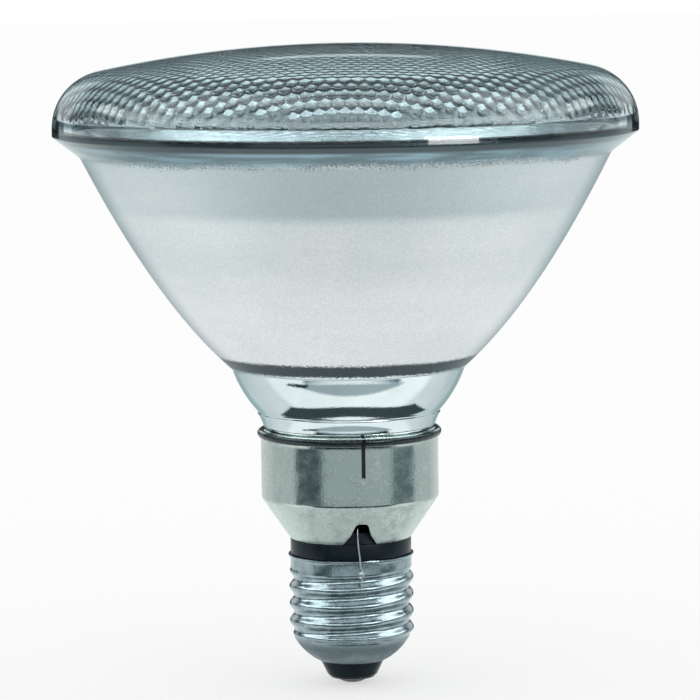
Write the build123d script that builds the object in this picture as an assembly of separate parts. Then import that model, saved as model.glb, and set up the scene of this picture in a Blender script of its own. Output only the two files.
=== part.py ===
# Par spotlight bulb with a skirted screw cap, in millimetres, standing on its centre contact with the lens up.
from build123d import *
from math import atan2, cos, hypot, pi, sin
import os

# Contact and base glass
CONTACT_FLAT_R = 2.0
CONTACT_TIP_R = 3.2
CONTACT_TIP_H = 0.7
CONTACT_R = 4.8
CONTACT_H = 0.8
BASE_GLASS_R = 5.2
BASE_GLASS_H = 3.35
BASE_GLASS_RISE = 2.4

# Screw shell
SHELL_MOUTH_R = 7.2
SHELL_CONE_H = 4.85
SHELL_CONE_ARC_R = 12.0
SHELL_T = 0.35
THREAD_ROOT_R = 12.15
THREAD_CREST_R = 13.1
THREAD_PITCH = 3.629
THREAD_RIDGE_W = 2.6
THREAD_H = 15.0
THREAD_MARGIN = 0.5
THREAD_FADE = 0.3
THREAD_FADE_TURN = 0.35
THREAD_PHASE = 231.0
BAND_STEP = 0.6
BAND_H = 2.2
SHELL_LIP_W = 0.45
SHELL_LIP_H = 0.6

# Insulating ring
INSULATOR_R = 12.7
INSULATOR_H = 3.5
INSULATOR_BORE_R = 9.6
INSULATOR_SPIGOT_H = 2.5
INSULATOR_PLUG_H = 3.0
INSULATOR_EDGE_R = 0.4

# Skirt
SKIRT_FOOT_STEP = 0.05
SKIRT_R = 18.6
SKIRT_T = 0.35
SKIRT_CONE_H = 8.6
SKIRT_WALL_H = 12.6
SKIRT_LIP_W = 0.75
SKIRT_LIP_H = 1.9
SKIRT_BEND_R = 1.2
SLIT_W = 0.8
SLIT_L = 8.0
SLITS = 2
NOTCH_W = 7.0
NOTCH_H = 4.75
NOTCH_WAIST_W = 3.8
NOTCH_WAIST_H = 2.1
NOTCH_WAIST_R = 2.5
NOTCH_TOP_W = 2.4
NOTCH_TOP_R = 1.0
NOTCH_FOOT_R = 0.1

# Reflector
RIM_D = 122.0
SEAL_W = 6.4
BOWL_H = 48.74
BOWL_T = 2.9
FLANGE_EDGE_H = 0.8
FLANGE_EDGE_R = 0.4
FLANGE_W = 5.7
FLANGE_FILLET_R = 3.0
HEEL_TOP_R = 24.6
HEEL_T = 3.2
HEEL_H = 11.86
HEEL_ARC_R = 25.0
HEEL_FILLET_R = 1.2
NECK_STEP = 0.45
NECK_H = 2.1
NECK_SEAT_L = 9.5
NECK_T = 3.0
NECK_FLOOR_T = 4.0
NECK_ROUND_R = 1.6

# Lens
LENS_T = 4.0
LENS_EDGE_H = 0.7
LENS_SHOULDER_R = 12.0
LENS_CROWN_H = 16.95

# Electrical pieces inside
FERRULE_X = 8.0
FERRULE_R = 3.0
FERRULE_T = 0.5
FERRULE_FLANGE_R = 4.0
FERRULE_FLANGE_T = 0.7
FERRULE_RISE = 2.6
FERRULE_DROP = 2.0
POST_R = 0.8
POST_BEND_R = 2.0
FILAMENT_L = 13.0
FILAMENT_R = 0.5
TUBE_R = 2.4
TUBE_BORE_R = 1.5
TUBE_L = 8.0
WIRE_R = 0.22
WIRE_BEND_R = 1.4
WIRE_END_DROP = 5.5
WIRE_WALL_DROP = 1.5
WIRE_NOTCH_DROP = 1.45
SOLDER_R = 0.85
SOLDER_DROP = 2.7

# Clearances
FIT_GAP = 0.1
SEAT_GAP = 0.05

# Heights from the contact upwards
z_contact = CONTACT_TIP_H
z_glass = z_contact + CONTACT_H
z_shell = z_glass + BASE_GLASS_H
z_thread = z_shell + SHELL_CONE_H
z_band = z_thread + THREAD_H
z_lip = z_band + BAND_H
z_insulator = z_lip + SHELL_LIP_H
z_skirt = z_insulator + INSULATOR_H
z_wall = z_skirt + SKIRT_CONE_H
z_flare = z_wall + SKIRT_WALL_H
z_neck = z_flare + SKIRT_LIP_H
z_heel = z_neck + NECK_H
z_bowl = z_heel + HEEL_H
z_seam = z_bowl + BOWL_H
z_edge = z_seam + LENS_EDGE_H
z_crown = z_edge + LENS_CROWN_H
z_under = z_flare - NECK_SEAT_L
z_floor = z_under + NECK_FLOOR_T
z_post = z_floor + FERRULE_RISE

# Radii that follow from the sizes above
rim_r = RIM_D / 2
seal_r = rim_r - SEAL_W
flange_r = rim_r - FLANGE_W
bowl_r = HEEL_TOP_R - HEEL_T
neck_r = SKIRT_R + NECK_STEP
inner_neck_r = neck_r - NECK_T
seat_r = SKIRT_R - SKIRT_T - FIT_GAP
skirt_foot_r = INSULATOR_R + SKIRT_FOOT_STEP
band_r = THREAD_ROOT_R + BAND_STEP
shell_lip_r = band_r + SHELL_LIP_W
bore_r = THREAD_ROOT_R - SHELL_T
mouth_r = SHELL_MOUTH_R - SHELL_T
ridge_r = THREAD_ROOT_R - SHELL_T / 2
lead_hole_r = WIRE_R + FIT_GAP
lead_y = -(max(shell_lip_r, THREAD_CREST_R, INSULATOR_R) + WIRE_R + SEAT_GAP / 2)
z_thread_top = z_band - BAND_STEP

# Focal length and vertex of the silvered bowl
focal = (seal_r**2 - bowl_r**2) / (4 * BOWL_H)
vertex = z_bowl - bowl_r**2 / (4 * focal)
focus = vertex + focal


def turned(*edges):
    """Solid turned about Z from edges drawn as radius and height."""
    return revolve(Plane.XZ * make_face(Curve() + list(edges)), Axis.Z)


def rings(part, radius, height):
    """Circular edges of a turned part at one radius and height."""
    found = part.edges().filter_by(GeomType.CIRCLE)
    return found.filter_by(lambda e: abs(e.radius - radius) < 0.02 and abs(e.arc_center.Z - height) < 0.02)


def rod(path, radius):
    """Round rod along a path."""
    return sweep(Plane(path @ 0, z_dir=path % 0) * Circle(radius), path=path)


def parabola(foot, top, focus_length, vertex_z):
    """Piece of a parabola about Z between two radii."""
    middle = ((foot + top) / 2, vertex_z + foot * top / (4 * focus_length))
    ends = [(r, vertex_z + r**2 / (4 * focus_length)) for r in (foot, top)]
    return Bezier(ends[0], middle, ends[1])


def bowl_offset(radius):
    """Point at the wall thickness outside the silvered bowl."""
    length = hypot(radius, 2 * focal)
    return radius + BOWL_T * radius / length, vertex + radius**2 / (4 * focal) - BOWL_T * 2 * focal / length


def make_reflector():
    low = bowl_offset(bowl_r)
    high = bowl_offset(seal_r)
    outer_focal = (high[0] ** 2 - low[0] ** 2) / (4 * (high[1] - low[1]))
    outer_vertex = low[1] - low[0] ** 2 / (4 * outer_focal)
    outer = parabola(HEEL_TOP_R, flange_r, outer_focal, outer_vertex)
    inner = parabola(bowl_r, seal_r, focal, vertex)
    step = neck_r - seat_r
    z_bead = z_neck + SEAT_GAP + step
    glass = turned(
        inner,
        Polyline((seal_r, z_seam), (rim_r, z_seam), (rim_r, z_seam - FLANGE_EDGE_H), outer @ 1),
        outer,
        RadiusArc(outer @ 0, (neck_r, z_heel), HEEL_ARC_R),
        Polyline((neck_r, z_heel), (neck_r, z_bead), (seat_r, z_bead - step), (seat_r, z_under), (0, z_under)),
        Polyline((0, z_under), (0, z_floor), (inner_neck_r, z_floor), (inner_neck_r, z_heel)),
        RadiusArc((inner_neck_r, z_heel), inner @ 0, -HEEL_ARC_R),
    )
    glass = fillet(rings(glass, rim_r, z_seam - FLANGE_EDGE_H), min(FLANGE_EDGE_R, FLANGE_EDGE_H / 2))
    glass = fillet(rings(glass, flange_r, (outer @ 1).Y), FLANGE_FILLET_R)
    glass = fillet(rings(glass, HEEL_TOP_R, (outer @ 0).Y), HEEL_FILLET_R)
    glass = fillet(rings(glass, neck_r, z_heel), HEEL_FILLET_R)
    glass = fillet(rings(glass, seat_r, z_under), NECK_ROUND_R)
    glass = fillet(rings(glass, inner_neck_r, z_floor), NECK_ROUND_R)
    glass -= Pos(0, 0, z_under) * Cylinder(TUBE_BORE_R, 2 * NECK_FLOOR_T + 2)
    for side in (-1, 1):
        glass -= Pos(side * FERRULE_X, 0, z_under) * Cylinder(FERRULE_R + SEAT_GAP, 2 * NECK_FLOOR_T + 2)
    return glass


def make_lens():
    across = rim_r - LENS_SHOULDER_R
    dome_r = (across**2 + LENS_CROWN_H**2 - LENS_SHOULDER_R**2) / (2 * (LENS_CROWN_H - LENS_SHOULDER_R))
    centre = z_crown - dome_r
    lean = atan2(across, z_edge - centre)
    edges = []
    faces = []
    for skin in (0, LENS_T):
        bend = LENS_SHOULDER_R - skin
        dome = dome_r - skin
        meet = (across + bend * sin(lean), z_edge + bend * cos(lean))
        middle = lean / 2 + pi / 4
        half = (across + bend * sin(middle), z_edge + bend * cos(middle))
        edges.append(Line((across + bend, z_seam), (across + bend, z_edge)))
        edges.append(ThreePointArc((across + bend, z_edge), half, meet))
        edges.append(ThreePointArc(meet, (dome * sin(lean / 2), centre + dome * cos(lean / 2)), (0, centre + dome)))
        faces.append((across + bend, z_seam))
    edges.append(Line(*faces))
    edges.append(Line((0, z_crown), (0, z_crown - LENS_T)))
    return turned(*edges)


def make_exhaust_tube():
    tip = z_under - TUBE_L
    wall = TUBE_R - TUBE_BORE_R
    return turned(
        Polyline((TUBE_BORE_R, z_under), (TUBE_R, z_under), (TUBE_R, tip + TUBE_R)),
        RadiusArc((TUBE_R, tip + TUBE_R), (0, tip), TUBE_R),
        Line((0, tip), (0, tip + wall)),
        RadiusArc((0, tip + wall), (TUBE_BORE_R, tip + TUBE_R), -TUBE_BORE_R),
        Line((TUBE_BORE_R, tip + TUBE_R), (TUBE_BORE_R, z_under)),
    )


def make_ferrule(side):
    low = z_under - FERRULE_DROP
    cup = turned(
        Polyline(
            (0, z_post),
            (FERRULE_R, z_post),
            (FERRULE_R, z_floor + FERRULE_FLANGE_T),
            (FERRULE_FLANGE_R, z_floor + FERRULE_FLANGE_T),
            (FERRULE_FLANGE_R, z_floor),
            (FERRULE_R, z_floor),
            (FERRULE_R, low),
            (FERRULE_R - FERRULE_T, low),
            (FERRULE_R - FERRULE_T, z_post - FERRULE_T),
            (0, z_post - FERRULE_T),
            (0, z_post),
        )
    )
    return Pos(side * FERRULE_X, 0, 0) * cup


def make_post(side):
    path = FilletPolyline(
        (side * FERRULE_X, 0, z_post),
        (side * FERRULE_X, 0, focus),
        (side * FILAMENT_L / 2, 0, focus),
        radius=min(POST_BEND_R, (FERRULE_X - FILAMENT_L / 2) * 0.8),
    )
    return rod(path, POST_R)


def make_filament():
    return Pos(0, 0, focus) * Rot(0, 90, 0) * Cylinder(FILAMENT_R, FILAMENT_L)


def make_skirt():
    inner_r = SKIRT_R - SKIRT_T
    line = FilletPolyline((skirt_foot_r, z_skirt), (SKIRT_R, z_wall), (SKIRT_R, z_flare), radius=SKIRT_BEND_R)
    sheet = turned(*offset(line, SKIRT_T, side=Side.LEFT).edges())
    sheet += turned(
        Polyline((inner_r, z_neck), (inner_r, z_flare), (SKIRT_R, z_flare)),
        ThreePointArc((SKIRT_R, z_flare), (SKIRT_R + SKIRT_LIP_W, z_flare + SKIRT_LIP_H / 2), (inner_r, z_neck)),
    )
    slit = Pos(0, -SKIRT_R, z_neck - SLIT_L / 2) * Box(SLIT_W, SKIRT_R, SLIT_L + SLIT_W)
    for turn in range(SLITS):
        sheet -= Rot(0, 0, 360 / SLITS * turn) * slit
    side = [
        (-NOTCH_W / 2, z_skirt - 1),
        (-NOTCH_W / 2, z_skirt),
        (-NOTCH_WAIST_W / 2, z_skirt + NOTCH_WAIST_H),
        (-NOTCH_TOP_W / 2, z_skirt + NOTCH_H),
    ]
    corners = [NOTCH_FOOT_R, NOTCH_WAIST_R, NOTCH_TOP_R]
    bell = FilletPolyline(*side, *[(-x, z) for x, z in side[::-1]], radius=corners + corners[::-1])
    mouth = make_face([*bell.edges(), Line(bell @ 1, bell @ 0)])
    return sheet - extrude(Plane.XZ * mouth, SKIRT_R)


def make_insulator():
    foot_inner = skirt_foot_r - SKIRT_T / cos(atan2(SKIRT_R - skirt_foot_r, SKIRT_CONE_H))
    spigot_r = foot_inner - FIT_GAP
    plug_r = bore_r - FIT_GAP
    ring = turned(
        Polyline(
            (INSULATOR_BORE_R, z_insulator - INSULATOR_PLUG_H),
            (plug_r, z_insulator - INSULATOR_PLUG_H),
            (plug_r, z_insulator),
            (INSULATOR_R, z_insulator),
            (INSULATOR_R, z_skirt),
            (spigot_r, z_skirt),
            (spigot_r, z_skirt + INSULATOR_SPIGOT_H),
            (INSULATOR_BORE_R, z_skirt + INSULATOR_SPIGOT_H),
            (INSULATOR_BORE_R, z_insulator - INSULATOR_PLUG_H),
        )
    )
    return fillet(rings(ring, spigot_r, z_skirt + INSULATOR_SPIGOT_H), INSULATOR_EDGE_R)


def make_shell():
    outer = turned(
        RadiusArc((SHELL_MOUTH_R, z_shell), (THREAD_ROOT_R, z_thread), SHELL_CONE_ARC_R),
        Polyline(
            (THREAD_ROOT_R, z_thread),
            (THREAD_ROOT_R, z_thread_top),
            (band_r, z_band),
            (band_r, z_lip),
            (shell_lip_r, z_lip + SHELL_LIP_H / 2),
            (shell_lip_r, z_insulator),
            (0, z_insulator),
            (0, z_shell),
            (SHELL_MOUTH_R, z_shell),
        ),
    )
    room = turned(
        RadiusArc((mouth_r, z_shell + SHELL_T), (bore_r, z_thread + SHELL_T), SHELL_CONE_ARC_R),
        Polyline(
            (bore_r, z_thread + SHELL_T),
            (bore_r, z_insulator + 1),
            (0, z_insulator + 1),
            (0, z_shell - 1),
            (mouth_r, z_shell - 1),
            (mouth_r, z_shell + SHELL_T),
        ),
    )
    return outer + make_thread() - room


def ridge_section(place, size):
    """Rounded thread ridge across the helix, drawn full or faded."""
    half = THREAD_RIDGE_W / 2 * size
    arc = ThreePointArc((0, -half), ((THREAD_CREST_R - ridge_r) * size, 0), (0, half))
    return place * make_face([arc, Line((0, half), (0, -half))])


def make_thread():
    start = z_thread + THREAD_MARGIN
    turns = (z_thread_top - THREAD_MARGIN - start) / THREAD_PITCH
    stretches = (
        (0, THREAD_FADE_TURN, THREAD_FADE, 1),
        (THREAD_FADE_TURN, turns - THREAD_FADE_TURN, 1, 1),
        (turns - THREAD_FADE_TURN, turns, 1, THREAD_FADE),
    )
    pieces = []
    for first, last, size_first, size_last in stretches:
        helix = Helix(THREAD_PITCH, (last - first) * THREAD_PITCH, ridge_r)
        path = Pos(0, 0, start + first * THREAD_PITCH) * Rot(0, 0, THREAD_PHASE + 360 * first) * helix
        sections = []
        for end, size in ((0, size_first), (1, size_last)):
            at = path @ end
            sections.append(ridge_section(Plane(at, x_dir=(at.X, at.Y, 0), z_dir=path % end), size))
        pieces.append(sweep(sections, path=path, is_frenet=True, multisection=True))
    return pieces


def make_base_glass():
    throat_r = mouth_r - SEAT_GAP
    top_r = bore_r - SEAT_GAP
    z_bend = z_shell + SHELL_T
    z_top = z_thread + SHELL_T
    return turned(
        Polyline((lead_hole_r, z_glass), (BASE_GLASS_R, z_glass), (throat_r, z_shell), (throat_r, z_bend)),
        RadiusArc((throat_r, z_bend), (top_r, z_top), SHELL_CONE_ARC_R),
        Polyline(
            (top_r, z_top),
            (top_r, z_top + BASE_GLASS_RISE),
            (lead_hole_r, z_top + BASE_GLASS_RISE),
            (lead_hole_r, z_glass),
        ),
    )


def make_contact():
    return turned(
        Polyline(
            (lead_hole_r, z_contact),
            (CONTACT_TIP_R, z_contact),
            (CONTACT_R, z_contact + CONTACT_H / 2),
            (CONTACT_R, z_glass),
            (lead_hole_r, z_glass),
            (lead_hole_r, z_contact),
        )
    )


def make_contact_solder():
    bulge = hypot(CONTACT_TIP_R - CONTACT_FLAT_R, CONTACT_TIP_H)
    return turned(
        Polyline((CONTACT_TIP_R, z_contact), (0, z_contact), (0, 0), (CONTACT_FLAT_R, 0)),
        RadiusArc((CONTACT_FLAT_R, 0), (CONTACT_TIP_R, z_contact), -bulge),
    )


def make_side_lead():
    path = FilletPolyline(
        (FERRULE_X, 0, z_post - FERRULE_T),
        (FERRULE_X, 0, z_under - FERRULE_DROP),
        (FERRULE_X / 2, lead_y / 2, z_wall - WIRE_WALL_DROP),
        (0, lead_y, z_skirt + NOTCH_H - WIRE_NOTCH_DROP),
        (0, lead_y, z_insulator - WIRE_END_DROP),
        radius=WIRE_BEND_R,
    )
    return rod(path, WIRE_R)


def make_centre_lead():
    path = FilletPolyline(
        (-FERRULE_X, 0, z_post - FERRULE_T),
        (-FERRULE_X, 0, z_insulator),
        (0, 0, z_band - FERRULE_X),
        (0, 0, z_contact),
        radius=WIRE_BEND_R * 2,
    )
    return rod(path, WIRE_R)


def make_side_solder():
    height = z_insulator - SOLDER_DROP
    bead = Pos(0, lead_y, height) * Sphere(SOLDER_R)
    bead -= Pos(0, lead_y, height) * Cylinder(WIRE_R, 4 * SOLDER_R)
    return bead - Pos(0, 0, height) * Cylinder(band_r + SEAT_GAP / 2, 4 * SOLDER_R)


nodes = {
    "lens": make_lens,
    "reflector": make_reflector,
    "exhaust_tube": make_exhaust_tube,
    "ferrule_left": lambda: make_ferrule(-1),
    "ferrule_right": lambda: make_ferrule(1),
    "support_post_left": lambda: make_post(-1),
    "support_post_right": lambda: make_post(1),
    "filament": make_filament,
    "skirt": make_skirt,
    "insulator_ring": make_insulator,
    "screw_shell": make_shell,
    "base_insulator": make_base_glass,
    "centre_contact": make_contact,
    "contact_solder": make_contact_solder,
    "side_lead_wire": make_side_lead,
    "side_solder": make_side_solder,
    "centre_lead_wire": make_centre_lead,
}

os.makedirs("parts", exist_ok=True)
for name, make in nodes.items():
    export_step(make(), f"parts/{name}.step")
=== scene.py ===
import math

import bmesh
import bpy
from bpy.props import FloatProperty, FloatVectorProperty, IntProperty, PointerProperty
from mathutils import Euler, Matrix, Vector, noise


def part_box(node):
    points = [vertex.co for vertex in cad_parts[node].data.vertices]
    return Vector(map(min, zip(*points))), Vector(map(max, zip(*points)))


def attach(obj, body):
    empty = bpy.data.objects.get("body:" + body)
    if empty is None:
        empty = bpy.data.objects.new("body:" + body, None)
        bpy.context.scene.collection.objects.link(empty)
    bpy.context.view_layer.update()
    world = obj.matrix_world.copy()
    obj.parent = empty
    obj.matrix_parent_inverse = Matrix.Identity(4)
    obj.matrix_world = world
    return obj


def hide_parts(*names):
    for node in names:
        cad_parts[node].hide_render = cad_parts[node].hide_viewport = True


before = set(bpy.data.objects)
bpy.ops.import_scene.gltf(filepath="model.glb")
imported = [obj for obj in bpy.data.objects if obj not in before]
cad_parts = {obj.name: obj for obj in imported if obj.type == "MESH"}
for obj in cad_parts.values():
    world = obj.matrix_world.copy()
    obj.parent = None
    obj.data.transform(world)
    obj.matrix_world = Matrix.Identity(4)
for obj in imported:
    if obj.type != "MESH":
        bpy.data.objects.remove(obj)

bl_info = {
    "name": "Par spotlight bulb",
    "version": (1, 0, 0),
    "blender": (4, 5, 0),
    "location": "View3D > Sidebar > Bulb",
    "description": "Dresses the solids of a reflector spotlight bulb and sets it on a white studio floor",
    "category": "Add Mesh",
}

MM = 0.001
FULL_TURN = 2 * math.pi
QUARTER_TURN = math.pi / 2
WHITE = (1.0, 1.0, 1.0, 1.0)
SEAM_GAP = 0.02 * MM
WELD = 0.0001 * MM

# Least angle in degrees at which an edge stays sharp, unless a piece has its own
SHARP_EDGE = 35

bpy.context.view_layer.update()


def top(node):
    """Highest level of a solid."""
    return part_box(node)[1].z


def foot(node):
    """Lowest level of a solid."""
    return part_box(node)[0].z


def radius_of(node):
    """Largest radius of a solid that is centred on the axis."""
    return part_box(node)[1].x


def extent(node):
    """Lowest and highest level and largest radius of a solid on the axis."""
    return foot(node), top(node), radius_of(node)


def mm(*sizes):
    """Sizes in metres from millimetres."""
    return [size * MM for size in sizes]


def measured(title, words, metres):
    """A size in the sidebar, in metres as it is read from the solids."""
    return FloatProperty(name=title, description=words, default=metres, unit="LENGTH", precision=5)


def length(title, words, millimetres):
    """A size in the sidebar, written in millimetres."""
    return measured(title, words, millimetres * MM)


def number(title, words, value):
    """A plain number in the sidebar."""
    return FloatProperty(name=title, description=words, default=value)


def tint(title, words, colour):
    """A linear colour in the sidebar."""
    return FloatVectorProperty(name=title, description=words, default=colour, subtype="COLOR", min=0, max=1)


def turn(title, words, degrees):
    """An angle in the sidebar, written in degrees."""
    return FloatProperty(name=title, description=words, default=math.radians(degrees), subtype="ANGLE")


class BulbGlass(bpy.types.PropertyGroup):
    """Sizes of the lens and the reflector."""

    rim: measured("Rim radius", "Radius of the rim where lens and reflector meet", radius_of("lens"))
    seam: measured("Seam height", "Level of the seal between lens and reflector", foot("lens"))
    crown: measured("Crown height", "Level of the middle of the lens", top("lens"))
    lens_wall: length("Lens wall", "Thickness of the lens", 4.0)
    lens_edge: length("Lens edge", "Straight edge of the lens above the seam", 0.7)
    shoulder: length("Shoulder radius", "Radius of the rounded shoulder of the lens", 12.0)
    pitch: length("Stipple pitch", "Distance between neighbouring bumps of the stipple", 2.55)
    bump: length("Bump radius", "Radius of the round face of each bump", 2.4)
    stipple: length("Stipple reach", "Distance of the outermost bump centres, along the inner face", 58.4)
    stipple_turn: turn("Stipple turn", "Direction of the rows of bumps", -8.7)
    bowl_height: length("Bowl height", "Height of the silvered bowl", 48.74)
    bowl_wall: length("Bowl wall", "Thickness of the bowl", 2.9)
    seal: length("Seal width", "Width of the sealed ring", 6.4)
    flange: length("Flange width", "Overhang of the rim over the bowl", 5.7)
    flange_edge: length("Flange edge", "Straight edge of the flange under the seam", 0.8)
    heel: length("Heel radius", "Radius where bowl and heel meet", 24.6)
    heel_wall: length("Heel wall", "Thickness at the top of the heel", 3.2)
    heel_height: length("Heel height", "Height of the heel", 11.86)
    heel_arc: length("Heel arc", "Radius of the rounded heel", 25.0)
    heel_bend: length("Heel bend", "Radius of the bend between bowl and heel", 0.9)
    crease: measured("Crease height", "Level of the crease between heel and neck", top("skirt") + 3.8 * MM)
    crease_bend: length("Crease bend", "Radius of the bends of the crease", 0.35)
    neck: length("Neck radius", "Radius of the bead above the skirt", 19.05)
    neck_seat: length("Seat radius", "Radius of the neck inside the skirt", 18.15)
    neck_wall: length("Neck wall", "Thickness of the neck", 3.0)
    neck_floor: length("Neck floor", "Thickness of the floor of the neck", 4.0)


class BulbCap(bpy.types.PropertyGroup):
    """Sizes of the skirt and the screw cap."""

    skirt: length("Skirt radius", "Radius of the straight part of the skirt", 18.6)
    skirt_sheet: length("Skirt sheet", "Thickness of the skirt", 0.35)
    skirt_foot: length("Skirt foot", "Radius of the small end of the skirt", 12.75)
    skirt_cone: length("Skirt cone", "Height of the cone of the skirt", 8.6)
    skirt_lip: length("Skirt lip", "Height of the rolled lip", 1.9)
    skirt_bend: length("Skirt bend", "Radius of the bends of the skirt", 1.2)
    slit_width: length("Slit width", "Width of the slits", 0.8)
    slit_length: length("Slit length", "Depth of the slits from the lip", 8.4)
    notch_width: length("Notch width", "Width of the notch at the foot", 7.0)
    notch_waist: length("Notch waist", "Width of the notch at its waist", 4.2)
    notch_waist_rise: length("Notch waist rise", "Height of the waist of the notch", 2.1)
    notch_tip: length("Notch tip", "Width of the notch at its top", 2.4)
    notch_height: length("Notch height", "Height of the notch", 4.75)
    ring: measured("Ring radius", "Radius of the insulating ring", radius_of("insulator_ring"))
    ring_bore: length("Ring bore", "Radius of the hole in the insulating ring", 9.6)
    crest: length("Crest radius", "Radius over the crests of the screw", 13.1)
    root: length("Root radius", "Radius at the roots of the screw", 12.15)
    band: length("Band radius", "Radius of the plain band over the screw", 12.75)
    screw_pitch: length("Screw pitch", "Rise of the screw in one turn", 3.629)
    screw_start: length("Screw start", "Level where the screw fades in", 9.7)
    screw_end: length("Screw end", "Level where the screw fades out", 24.7)
    screw_crest: length("Crest level", "Level of a crest on the +X side", 22.39)
    nose: length("Nose arc", "Radius of the rounded end of the shell", 12.0)
    mouth: length("Mouth radius", "Radius of the lower end of the shell", 7.2)
    shell_sheet: length("Shell sheet", "Thickness of the shell", 0.35)
    base_face: length("Base face", "Radius of the flat end of the base glass", 5.2)
    plate_face: length("Plate face", "Radius of the flat face of the contact plate", 3.2)
    tip_face: length("Tip face", "Radius of the flat of the solder tip", 2.0)
    wire: length("Wire radius", "Radius of the lead wire", 0.17)


class BulbColours(bpy.types.PropertyGroup):
    """Colours of the finishes."""

    glass: tint("Glass", "Clear pressed glass", (0.895, 0.955, 0.97))
    satin: tint("Satin silver", "Silver seen through the satin bowl", (0.955, 1.0, 1.0))
    coat: tint("Silver coat", "Silver on the inside of the bowl", (0.86, 0.91, 0.92))
    bright: tint("Bright silver", "Silver seen through the smooth heel", (0.84, 0.88, 0.885))
    plate: tint("Skirt plate", "Plated sheet of the skirt", (0.86, 0.945, 0.875))
    lip: tint("Skirt lip", "Darkened rolled lip of the skirt", (0.06, 0.072, 0.076))
    cement: tint("Cement", "Dark cement behind the skirt", (0.012, 0.012, 0.012))
    # Painted reflection: colour of the dark band at the kink, standing in for dark surroundings mirrored
    # there
    ring: tint("Dark ring", "Dark ring where the satin ends", (0.045, 0.066, 0.075))
    flange: tint("Flange", "Uncoated glass of the flange", (0.17, 0.26, 0.30))
    seal: tint("Seal", "Ground face of the seal", (0.80, 0.86, 0.87))
    nickel: tint("Nickel", "Bright plate of the screw shell", (0.42, 0.5, 0.53))
    black: tint("Black", "Black plastic and black glass", (0.002, 0.0075, 0.0115))
    wire: tint("Wire", "Bare lead wire", (0.74, 0.77, 0.77))
    solder: tint("Solder", "Solder on the shell", (0.62, 0.65, 0.65))
    # Painted shade: the contact and its solder tip are darkened to stand in for the shadow under the lamp
    contact: tint("Contact", "Darkened contact", (0.10, 0.10, 0.10))
    tungsten: tint("Tungsten", "Wound filament", (0.24, 0.24, 0.25))
    posts: tint("Posts", "Nickel posts of the filament", (0.6, 0.61, 0.6))
    ferrules: tint("Ferrules", "Metal cups in the neck", (0.42, 0.42, 0.41))


class BulbStudio(bpy.types.PropertyGroup):
    """Camera and light."""

    distance: length("Camera distance", "Distance of the camera from the axis", 800.0)
    height: length("Camera height", "Level of the camera", 157.9)
    aside: length("Camera aside", "Step of the camera to its right", 0.35)
    azimuth: turn("Camera azimuth", "Turn of the camera about the axis, from the slit", -8.7)
    pitch: turn("Camera pitch", "Tilt of the camera below the horizon", 6.25)
    roll: turn("Camera roll", "Lean of the camera", -0.75)
    lens: number("Focal length", "Focal length in millimetres", 197.6)
    box_bearing: turn("Softbox bearing", "Turn of the small softbox from the camera's side", 38.3)
    box_distance: length("Softbox distance", "Distance of the small softbox from the axis", 355.0)
    box_level: length("Softbox level", "Level of the middle of the small softbox", 99.0)
    box_width: length("Softbox width", "Width of the small softbox", 118.0)
    box_height: length("Softbox height", "Height of the small softbox", 22.0)
    box_power: number("Softbox power", "Power of the small softbox in watts", 0.12)
    soft: number("Soft light", "Strength of the even light", 1.0)
    floor: length("Floor", "Half the side of the floor", 6000.0)
    steps: IntProperty(name="Steps", description="Divisions of a turned piece", default=256, min=32)


def arc_points(centre, radius, start, end, steps):
    """Points on an arc, with angles from the radius direction."""
    angles = [start + (end - start) * step / steps for step in range(steps + 1)]
    return [(centre[0] + radius * math.cos(a), centre[1] + radius * math.sin(a)) for a in angles]


def round_path(points, radii, steps=6):
    """Radius and height points of a path with rounded corners."""
    path = [points[0]]
    for before, here, after, radius in zip(points, points[1:], points[2:], radii):
        corner = Vector(here)
        back = (Vector(before) - corner).normalized()
        ahead = (Vector(after) - corner).normalized()
        half = back.angle(ahead) / 2
        centre = corner + (back + ahead).normalized() * radius / math.sin(half)
        first = corner + back * radius / math.tan(half) - centre
        last = corner + ahead * radius / math.tan(half) - centre
        start = math.atan2(first.y, first.x)
        sweep = (math.atan2(last.y, last.x) - start + math.pi) % FULL_TURN - math.pi
        path += arc_points(centre, radius, start, start + sweep, steps)
    return path + [points[-1]]


def bulged(first, last, radius, steps):
    """Points on an arc of a given radius that bulges away from the axis between two rising points."""
    a, b = Vector(first), Vector(last)
    side = Vector((b.y - a.y, a.x - b.x)).normalized()
    centre = (a + b) / 2 - side * math.sqrt(radius**2 - (b - a).length_squared / 4)
    start = math.atan2(a.y - centre.y, a.x - centre.x)
    end = math.atan2(b.y - centre.y, b.x - centre.x)
    return arc_points(centre, radius, start, end, steps)


def leaning(start, leans, radii, steps=8):
    """Path that goes down from a point, in arcs between the wall's leans away from upright."""
    radius, height = start
    path = []
    for first, last, bend in zip(leans, leans[1:], radii):
        stride = bend * abs(last - first) / steps
        for step in range(steps):
            lean = first + (last - first) * (step + 0.5) / steps
            radius += math.sin(lean) * stride
            height -= math.cos(lean) * stride
            path.append((radius, height))
    return path


def stepped(first, last, steps):
    """Points in equal steps from one point to another, without the last."""
    return [tuple(a + (b - a) * step / steps for a, b in zip(first, last)) for step in range(steps)]


def around(steps):
    """Angles of the divisions of a full turn."""
    return [FULL_TURN * step / steps for step in range(steps)]


def lathe(bm, path, steps, loop):
    """Faces turned about the axis from radius and height points; a radius may be a function of the angle."""
    rings = []
    for radius, height in path:
        angles = around(1 if radius == 0 else steps)
        spots = [(radius(a) if callable(radius) else radius, a) for a in angles]
        rings.append([bm.verts.new((r * math.cos(a), r * math.sin(a), height)) for r, a in spots])
    for low, high in zip(rings, rings[1:] + rings[:1] if loop else rings[1:]):
        for step in range(steps):
            after = step + 1
            corners = [low[step % len(low)], low[after % len(low)]]
            corners += [high[after % len(high)], high[step % len(high)]]
            corners = list(dict.fromkeys(corners))
            if len(corners) > 2:
                bm.faces.new(corners)


def put_in_scene(name, data):
    """Object in the scene."""
    made = bpy.data.objects.new(name, data)
    bpy.context.scene.collection.objects.link(made)
    return made


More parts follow.
